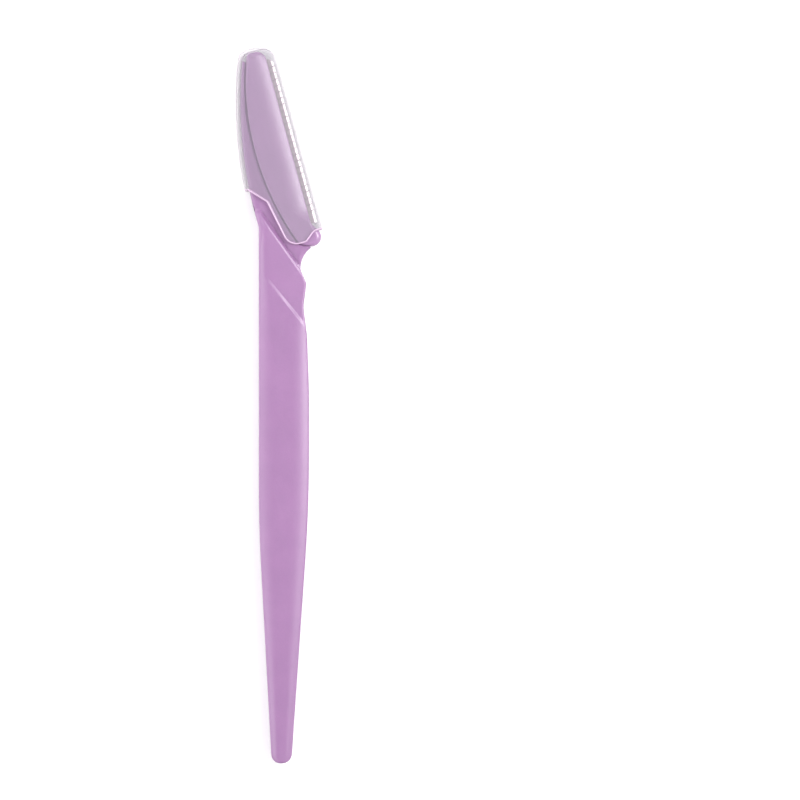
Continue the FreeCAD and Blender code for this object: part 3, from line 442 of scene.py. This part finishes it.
def add_node(tree, kind, settings, inputs):
    """Adds a node, gives it its settings, and sets or links its inputs."""
    node = tree.nodes.new(kind)
    for name, value in settings.items():
        setattr(node, name, value)
    for name, value in inputs.items():
        if isinstance(value, bpy.types.NodeSocket):
            tree.links.new(value, node.inputs[name])
        else:
            node.inputs[name].default_value = value
    return node


def new_material(name):
    """An empty material, its node tree, and the place on the surface in metres."""
    material = bpy.data.materials.new(name)
    material.use_nodes = True
    tree = material.node_tree
    tree.nodes.clear()
    return material, tree, add_node(tree, "ShaderNodeTexCoord", {}, {}).outputs["Object"]


CLOUD_SIZE = 6
GRAIN_SIZE = 0.25
GRAIN_SHARE = 0.7
GRAIN_DEPTH = 0.02
GLOSS_RANGE = 0.07


def satin_abs(name, light, dark, gloss):
    """ABS moulded against a spark-eroded steel face: an even satin, broken by a grain that glints softly.

    The grain is 0.05 mm in the mould, and is drawn five times as coarse so that it shows.
    """
    material, tree, place = new_material(name)
    cloud = add_node(tree, "ShaderNodeTexNoise", {},
                     {"Vector": place, "Scale": 1 / (CLOUD_SIZE * MM), "Detail": 2})
    grain = add_node(tree, "ShaderNodeTexNoise", {},
                     {"Vector": place, "Scale": 1 / (GRAIN_SIZE * MM), "Detail": 3})
    tone = add_node(tree, "ShaderNodeMath", {"operation": "MULTIPLY_ADD"},
                    {0: grain.outputs["Fac"], 1: GRAIN_SHARE, 2: cloud.outputs["Fac"]})
    share = add_node(tree, "ShaderNodeMapRange", {},
                     {"Value": tone.outputs[0], "From Min": 0.5, "From Max": 1.2})
    colour = add_node(tree, "ShaderNodeMix", {"data_type": "RGBA"},
                      {0: share.outputs[0], 6: linear(dark), 7: linear(light)})
    sheen = add_node(tree, "ShaderNodeMapRange", {}, {
        "Value": grain.outputs["Fac"], "To Min": gloss - GLOSS_RANGE, "To Max": gloss + GLOSS_RANGE})
    relief = add_node(tree, "ShaderNodeBump", {},
                      {"Height": grain.outputs["Fac"], "Strength": 0.35, "Distance": GRAIN_DEPTH * MM})
    shader = add_node(tree, "ShaderNodeBsdfPrincipled", {}, {
        "Base Color": colour.outputs[2], "Roughness": sheen.outputs[0], "IOR": 1.53,
        "Subsurface Weight": 0.2, "Subsurface Radius": (1, 0.55, 0.95), "Subsurface Scale": 0.5 * MM,
        "Normal": relief.outputs["Normal"]})
    add_node(tree, "ShaderNodeOutputMaterial", {}, {"Surface": shader.outputs[0]})
    return material


fit(handle, "razor", "handle_plastic", "handle", satin_abs("lilac_abs", "#836086", "#7c5b80", 0.36))

# Covers: two crescent shells in the same ABS, front and rear alike, pinned together through the tang. Each
# has a low crest, a hollowed cheek down to a thin lip along the blade, and half of the round heel knob.

COVER_HEEL = -5.4
COVER_HEEL_ROUNDING = 2
HEEL_SPLIT = 0.7
HEAD_LENGTH = 36
TIP_MIDDLE = -2.35
TIP_BACK_ROUNDING = 1.3
TIP_LIP_ROUNDING = 2
KNOB = Vector((-0.55, -4.5))
KNOB_RADIUS = 1.95
KNOB_LOW_ANGLE = math.radians(-112.35)
KNOB_HIGH_ANGLE = math.radians(33.53)
KNOB_PLACES = 40
KNOB_SHOULDER = -1.8
KNOB_SHOULDER_ROUNDING = 1.5
COVER_SEAM_START = -4.1
COVER_SEAM_TOP = 34.2
COVER_SEAM_PLACES = 110


def on_knob(angle):
    """A place on the knob's rim."""
    return KNOB + KNOB_RADIUS * Vector((math.cos(angle), math.sin(angle)))


def beside_seam(along):
    """A place on the covers' edge along the seam."""
    return Vector((seam(along) + HALF_SEAM, along))


# The edges run from the middle of the heel to the middle of the tip, along the seam and along the lip
cover_heel = beside_seam(COVER_HEEL)
heel_middle = cover_heel.lerp(on_knob(KNOB_LOW_ANGLE), HEEL_SPLIT)
tip_middle = Vector((TIP_MIDDLE, HEAD_LENGTH))
cover_seam = [beside_seam(along)
              for along in np.linspace(COVER_SEAM_START, COVER_SEAM_TOP, COVER_SEAM_PLACES)]
knob_rim = [on_knob(angle) for angle in np.linspace(KNOB_LOW_ANGLE, KNOB_HIGH_ANGLE, KNOB_PLACES)]
seam_edge = Edge(rounded(
    (heel_middle, 0),
    (cover_heel, COVER_HEEL_ROUNDING),
    (cover_seam[0], 0),
) + cover_seam[1:-1] + rounded(
    (cover_seam[-1], 0),
    (beside_seam(HEAD_LENGTH), TIP_BACK_ROUNDING),
    (tip_middle, 0),
), -1)
lip_edge = Edge([heel_middle] + knob_rim + rounded(
    (on_knob(KNOB_HIGH_ANGLE), 0),
    (Vector((0, KNOB_SHOULDER)), KNOB_SHOULDER_ROUNDING),
    (Vector((0, HEAD_LENGTH)), TIP_LIP_ROUNDING),
    (tip_middle, 0),
), 1)

CREST = -4.2
CREST_SPREAD = 8
CHEEK_DROP = 0.75
CHEEK_CURVE = 2.2
CHEEK_END = 0.9
CHEEK_RISE = 0.26
CHEEK_EASE = 1.6


def cover_height(across, along):
    """A cover's thickness at a place: low crest, and the hollowed cheek that runs out towards the knob."""
    if across < CREST:
        return HALF_HEAD - ((across - CREST) / CREST_SPREAD) ** 2
    cheek = HALF_HEAD - CHEEK_DROP * min((across - CREST) / -CREST, 1) ** CHEEK_CURVE
    cheek += CHEEK_RISE * soft_max(CHEEK_END - along, 0, CHEEK_EASE)
    return min(HALF_HEAD, cheek)


RECESS_HEIGHT = 0.44
RECESS_HEEL = -2.1
RECESS_TIP = 33.9
PARTING = 0.01


def over_recess(upper):
    """The rest of a cover section: its flat underside, raised over the blade and the tang."""
    return [(x, y, RECESS_HEIGHT if RECESS_HEEL < y < RECESS_TIP else PARTING)
            for x, y, _ in reversed(upper)]


COVER_COLUMNS = 36
cover_rows = (
    (heel_middle, heel_middle, 10, 0),
    (beside_seam(-4.2), on_knob(math.radians(-80)), 10, 0),
    (beside_seam(-2.8), on_knob(math.radians(-40)), 10, 0),
    (beside_seam(-1.6), on_knob(math.radians(5)), 12, 0),
    (beside_seam(0), Vector((0.3, -2.2)), 14, 0),
    (beside_seam(2), Vector((0, 1)), 14, 0),
    (beside_seam(6), Vector((0, 6)), 70, 0),
    (beside_seam(32), Vector((0, 32)), 12, 0),
    (beside_seam(34.6), Vector((0, 34)), 16, 0),
    (tip_middle, tip_middle, 0, 0),
)
seam_rounding = (
    (heel_middle, 0.5, 0.4),
    (beside_seam(-3), 0.35, 0.25),
    (beside_seam(30), 0.35, 0.25),
    (beside_seam(HEAD_LENGTH), 0.9, 0.6),
    (tip_middle, 1.2, 0.8),
)
lip_rounding = (
    (heel_middle, 0.5, 0.4),
    (on_knob(math.radians(-70)), 1.1, 1),
    (on_knob(math.radians(15)), 1.1, 1),
    (Vector((0, -1.5)), 0.35, 0.3),
    (Vector((0, 2)), 0.15, 0.15),
    (Vector((0, 33)), 0.15, 0.15),
    (Vector((-0.6, 35.4)), 0.9, 0.6),
    (tip_middle, 1.2, 0.8),
)
cover_sections = sections(
    seam_edge, lip_edge, cover_rows, spread(COVER_COLUMNS, COLUMN_CROWDING),
    seam_rounding, lip_rounding, cover_height, over_recess)
cover_abs = satin_abs("lilac_cover_abs", "#8c6b8f", "#856589", 0.33)
for name, face in (("front_cover", 1), ("rear_cover", -1)):
    rings = [[(*in_razor(x, y), face * z) for x, y, z in ring] for ring in cover_sections]
    fit(skin(f"{name}_shell", rings), "razor", "cover_plastic", name, cover_abs)

# Blade: a strip of thin stainless steel held between the covers, ground to an edge on both faces. The strip
# of the frame is kept, and its steel has the fine lines of the rolling along it.

BLADE_LINES = (0.04, 2.5, 0.04)
LINE_DEPTH = 0.004
STEEL_GLOSS_RANGE = 0.08


def drawn_steel(name, light, dark, roughness, lines):
    """Stainless steel drawn or rolled along one way: a grey sheen with faint lines that run that way.

    lines are their sizes across the blade, along it, and through it.
    """
    material, tree, place = new_material(name)
    along_blade = add_node(tree, "ShaderNodeMapping", {"vector_type": "TEXTURE"}, {
        "Vector": place, "Rotation": (0, 0, BLADE_ANGLE), "Scale": [size * MM for size in lines]})
    noise = add_node(tree, "ShaderNodeTexNoise", {},
                     {"Vector": along_blade.outputs[0], "Scale": 1, "Detail": 2})
    colour = add_node(tree, "ShaderNodeMix", {"data_type": "RGBA"},
                      {0: noise.outputs["Fac"], 6: linear(dark), 7: linear(light)})
    gloss = add_node(tree, "ShaderNodeMapRange", {}, {
        "Value": noise.outputs["Fac"],
        "To Min": roughness - STEEL_GLOSS_RANGE, "To Max": roughness + STEEL_GLOSS_RANGE})
    relief = add_node(tree, "ShaderNodeBump", {},
                      {"Height": noise.outputs["Fac"], "Strength": 0.2, "Distance": LINE_DEPTH * MM})
    shader = add_node(tree, "ShaderNodeBsdfPrincipled", {}, {
        "Base Color": colour.outputs[2], "Metallic": 1, "Roughness": gloss.outputs[0],
        "Normal": relief.outputs["Normal"]})
    add_node(tree, "ShaderNodeOutputMaterial", {}, {"Surface": shader.outputs[0]})
    return material


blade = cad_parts["blade"]
blade.data.materials.clear()
blade.data.materials.append(drawn_steel("rolled_stainless", "#b4aaad", "#a1979a", 0.45, BLADE_LINES))

# Guard wire: one length of fine stainless wire wound round the blade, so that skin can't press on the edge
# between its turns. It crosses the blade squarely, and bends closely round its edge and its back.

WIRE_RADIUS = 0.075
WIRE_TURNS = 24
WIRE_SIDES = 10
WIRE_HEIGHT = 0.315
WIRE_EDGE = 1.15
WIRE_BACK = -3.15
WIRE_END = -3.595
WIRE_HEEL = 0.25
WIRE_TIP = 32.85
WIRE_BEND_STEPS = 8
WIRE_LINES = (0.5, 0.03, 0.03)
bends = np.linspace(0, math.pi, WIRE_BEND_STEPS + 1)
turn = [(WIRE_EDGE + WIRE_HEIGHT * math.sin(a), WIRE_HEIGHT * math.cos(a)) for a in bends]
turn += [(WIRE_BACK - WIRE_HEIGHT * math.sin(a), -WIRE_HEIGHT * math.cos(a)) for a in bends]
profile = np.array([(WIRE_END, WIRE_HEIGHT)] + turn * WIRE_TURNS)[:-len(bends)]
profile = np.vstack((profile, (WIRE_END, -WIRE_HEIGHT)))
lengths = np.append(0, np.cumsum(np.hypot(*np.diff(profile, axis=0).T)))
wire_path = [Vector((*in_razor(across, WIRE_HEEL + (WIRE_TIP - WIRE_HEEL) * length / lengths[-1]), up))
             for (across, up), length in zip(profile, lengths)]
blade_way = in_razor(0, 1).to_3d() - in_razor(0, 0).to_3d()
wire_rings = [[wire_path[0]] * WIRE_SIDES]
for before, middle, after in zip(wire_path[:1] + wire_path, wire_path, wire_path[1:] + wire_path[-1:]):
    way = (after - before).normalized()
    out = way.cross(blade_way).normalized()
    side = out.cross(way)
    wire_rings.append([middle + WIRE_RADIUS * (math.cos(a) * out + math.sin(a) * side)
                       for a in np.linspace(0, 2 * math.pi, WIRE_SIDES, endpoint=False)])
wire_rings.append([wire_path[-1]] * WIRE_SIDES)
fit(skin("guard_winding", wire_rings), "razor", "guard_steel", "guard_wire",
    drawn_steel("drawn_stainless", "#b4adb0", "#9d9699", 0.35, WIRE_LINES))

# Cap: a thin sleeve in clear polypropylene with a fine frost, pushed on over the tip. Its mouth crosses the
# spine and runs down to a rounded tongue over the heel on each face.

CAP_SIDE = 1.74
CAP_SIDE_WALL = 0.5
CAP_TOP = 36.2
CAP_TIP_WALL = 0.65
CAP_BACK_GAP = 0.25
CAP_BACK_WALL = 0.745
CAP_MIDDLE = -1.8
CAP_SHOULDER = 0.8
CAP_ROUNDING = 2.35
CAP_BACK_ROUNDING = 1.9
CAP_RIM = 0.5
HALF_HOLLOW = 1.65
HOLLOW_RIM = 0.15
CAP_COLUMNS = 80
MOUTH_LEFT = Vector((-11.58, 8.38))
MOUTH_RIGHT = Vector((2.24, -3.54))
MOUTH_ROWS = 20
TONGUE_END = -5.35
CAP_LIP = 0.3
LIP_STEPS = 8
cap_shares = np.linspace(0, 1, CAP_COLUMNS + 1)


def cap_wall(side_wall, tip_wall, back_wall, half, rim):
    """Sections of the cap's outer or inner face, from a straight mouth to the tip.

    The walls are how far the face lies outside the hollow, half is half its thickness, and rim rounds it.
    """
    back = CAP_BACK_GAP + back_wall
    top = CAP_TOP + tip_wall
    side = CAP_SIDE + side_wall
    foot = Vector((SPINE_FOOT[0] - back, SPINE_FOOT[1]))
    shoulder = Vector((SPINE_TIP[0] - back, SPINE_TIP[1]))
    top_middle = Vector((CAP_MIDDLE, top))
    left = Edge(arc(foot, shoulder, SPINE_RADIUS, 1)[:-1] + rounded(
        (shoulder, 0),
        (shoulder + Vector((CAP_SHOULDER, top - shoulder.y)), CAP_BACK_ROUNDING + tip_wall),
        (top_middle, 0),
    ), -1)
    right = Edge(rounded(
        (Vector((side, MOUTH_RIGHT.y)), 0),
        (Vector((side, top)), CAP_ROUNDING + tip_wall),
        (top_middle, 0),
    ), 1)
    rows = (
        (MOUTH_LEFT, MOUTH_RIGHT, MOUTH_ROWS, 0),
        (Vector((-11, 15)), Vector((2, 8)), 34, 0),
        (Vector((-5.5, 34)), Vector((2, 34)), 16, 0),
        (top_middle, top_middle, 0, 0),
    )
    left_rim = ((MOUTH_LEFT, rim, rim), (top_middle, rim, rim))
    right_rim = ((MOUTH_RIGHT, rim, rim), (top_middle, rim, rim))
    return sections(left, right, rows, cap_shares, left_rim, right_rim, lambda across, along: half,
                    lambda upper: [(x, y, -z) for x, y, z in reversed(upper)])


outside = cap_wall(CAP_SIDE_WALL, CAP_TIP_WALL, CAP_BACK_WALL, MIDDLE, CAP_RIM)
inside = cap_wall(0, 0, 0, HALF_HOLLOW, HOLLOW_RIM)

# The mouth's line over a face: across the spine, down to the tongue, round it, and up to the knob
mouth_start, mouth_end = (Vector(outside[0][i][:2]) for i in (EDGE_STEPS, EDGE_STEPS + CAP_COLUMNS))
mouth = Edge(rounded(
    (mouth_start, 0),
    (Vector((-7.83, 4.9)), 0.95),
    (Vector((-5.68, TONGUE_END)), 3),
    (Vector((-1.88, TONGUE_END)), 1.5),
    (Vector((0.35, -3.55)), 1.5),
    (mouth_end, 0),
), 1)

# Both faces are drawn down to that line, less the lip's depth, and a half-round lip joins them
drops = []
leans = []
for share, spot in zip(cap_shares, outside[0][EDGE_STEPS:]):
    length = share * mouth.lengths[-1]
    drops.append(mouth.at(length) - Vector(spot[:2]))
    leans.append(mouth.inward(length) * CAP_LIP)
side_lean = Vector((0, CAP_LIP))
drops = [Vector((0, 0))] * EDGE_STEPS + drops + [Vector((0, 0))] * EDGE_STEPS
leans = [side_lean] * len(EDGE_SHAPE) + leans[1:-1] + [side_lean] * len(EDGE_SHAPE)
drops += drops[::-1]
leans += leans[::-1]
for rings in (outside, inside):
    for row in range(MOUTH_ROWS):
        fade = 1 - row / MOUTH_ROWS
        rings[row] = [(x + fade * (drop.x + lean.x), y + fade * (drop.y + lean.y), z)
                      for (x, y, z), drop, lean in zip(rings[row], drops, leans)]
lip = [[Vector(outer).lerp(Vector(inner), (1 - math.cos(angle)) / 2) - lean.to_3d() * math.sin(angle)
        for outer, inner, lean in zip(outside[0], inside[0], leans)]
       for angle in np.linspace(0, math.pi, LIP_STEPS + 1)[1:-1]]
cap_rings = [[(*in_razor(x, y), z) for x, y, z in ring] for ring in outside[::-1] + lip + inside]
lip_rings = range(len(outside) - 1, len(outside) + len(lip))

FROST_SIZE = 0.15
FROST_SHARE = 0.06
FROST_DEPTH = 0.01
EDGE_POWER = 3


def frosted_pp(name, face, rim, least, most):
    """Clear polypropylene with a fine frost: a thin grey veil that turns thick and pale seen edge on.

    The frost is 0.03 mm in the mould, and is drawn five times as coarse so that it shows.
    """
    material, tree, place = new_material(name)
    frost = add_node(tree, "ShaderNodeTexNoise", {},
                     {"Vector": place, "Scale": 1 / (FROST_SIZE * MM), "Detail": 2})
    facing = add_node(tree, "ShaderNodeLayerWeight", {}, {"Blend": 0.5}).outputs["Facing"]
    edge = add_node(tree, "ShaderNodeMath", {"operation": "POWER"}, {0: facing, 1: EDGE_POWER})
    milk = add_node(tree, "ShaderNodeMath", {"operation": "MULTIPLY_ADD"},
                    {0: frost.outputs["Fac"], 1: FROST_SHARE, 2: edge.outputs[0]})
    veil = add_node(tree, "ShaderNodeMapRange", {},
                    {"Value": milk.outputs[0], "To Min": least, "To Max": most})
    relief = add_node(tree, "ShaderNodeBump", {},
                      {"Height": frost.outputs["Fac"], "Strength": 0.2, "Distance": FROST_DEPTH * MM})
    slant = add_node(tree, "ShaderNodeMapRange", {}, {"Value": facing, "From Min": 0.3, "From Max": 0.8})
    colour = add_node(tree, "ShaderNodeMix", {"data_type": "RGBA"},
                      {0: slant.outputs[0], 6: linear(face), 7: linear(rim)})
    shader = add_node(tree, "ShaderNodeBsdfPrincipled", {}, {
        "Base Color": colour.outputs[2], "Roughness": 0.28, "IOR": 1.49, "Alpha": veil.outputs[0],
        "Normal": relief.outputs["Normal"]})
    add_node(tree, "ShaderNodeOutputMaterial", {}, {"Surface": shader.outputs[0]})
    return material


# The lip of the mouth is painted with a pale pinkish glow and made nearly opaque. This stands in for the
# light that the clear wall pipes to it.
fit(skin("cap_sleeve", cap_rings, lip_rings), "cap", "cap_plastic", "cap",
    frosted_pp("frosted_polypropylene", "#9a949f", "#dccfd8", 0.14, 0.85),
    frosted_pp("polypropylene_lip_painted_glow", "#c4a9c3", "#b4a2b3", 0.6, 0.95))

# Studio: a sheet of plain white paper under a soft tent that is brightest towards the sides. A key lamp
# stands high on the right, and a wider and weaker fill lamp on the left.

FLOOR_REACH = 2
FLOOR_GAP = 0.02
FIBRE_SIZE = 0.6
floor = bpy.data.objects.new("floor", bpy.data.meshes.new("floor"))
floor_corners = [(FLOOR_REACH * x, FLOOR_REACH * y, 0) for x, y in ((-1, -1), (1, -1), (1, 1), (-1, 1))]
floor.data.from_pydata(floor_corners, [], [(0, 1, 2, 3)])
floor.location = (0, 0, -FLOOR_GAP * MM)
bpy.context.scene.collection.objects.link(floor)
paper, tree, place = new_material("white_paper")
fibre = add_node(tree, "ShaderNodeTexNoise", {},
                 {"Vector": place, "Scale": 1 / (FIBRE_SIZE * MM), "Detail": 2})
colour = add_node(tree, "ShaderNodeMix", {"data_type": "RGBA"},
                  {0: fibre.outputs["Fac"], 6: linear("#ececec"), 7: linear("#eeeeee")})
shader = add_node(tree, "ShaderNodeBsdfPrincipled", {},
                  {"Base Color": colour.outputs[2], "Roughness": 0.85})
add_node(tree, "ShaderNodeOutputMaterial", {}, {"Surface": shader.outputs[0]})
floor.data.materials.append(paper)

SIDE_GLOW = 1.15
TOP_GLOW = 0.7
world = bpy.data.worlds.new("studio")
world.use_nodes = True
tent = world.node_tree
direction = add_node(tent, "ShaderNodeTexCoord", {}, {}).outputs["Generated"]
height = add_node(tent, "ShaderNodeSeparateXYZ", {}, {"Vector": direction}).outputs["Z"]
glow = add_node(tent, "ShaderNodeMapRange", {},
                {"Value": height, "From Min": 0, "From Max": 1, "To Min": SIDE_GLOW, "To Max": TOP_GLOW})
tent.links.new(glow.outputs[0], tent.nodes["Background"].inputs["Strength"])
tent.nodes["Background"].inputs["Color"].default_value = (1, 1, 1, 1)
bpy.context.scene.world = world

# Each lamp's watts, and its width and place in metres
LAMPS = {"key": (6.3, 0.3, (0.42, 0.16, 0.5)), "fill": (5, 0.7, (-0.5, 0.1, 0.3))}
for name, (watts, width, place) in LAMPS.items():
    lamp = bpy.data.objects.new(name, bpy.data.lights.new(name, "AREA"))
    lamp.data.energy = watts
    lamp.data.size = width
    lamp.location = place
    lamp.rotation_euler = (-lamp.location).to_track_quat("-Z", "Y").to_euler()
    bpy.context.scene.collection.objects.link(lamp)

VIEW_ACROSS = 24.3
VIEW_ALONG = 4.2
VIEW_WIDTH = 168
LENS = 200
VIEW_DEPTH = 10
camera = bpy.data.objects.new("camera", bpy.data.cameras.new("camera"))
camera.data.lens = LENS
camera.data.clip_end = VIEW_DEPTH
distance = VIEW_WIDTH * MM * LENS / camera.data.sensor_width
camera.location = (VIEW_ACROSS * MM, VIEW_ALONG * MM, distance)
bpy.context.scene.collection.objects.link(camera)
bpy.context.scene.camera = camera
bpy.context.scene.view_settings.view_transform = "Standard"
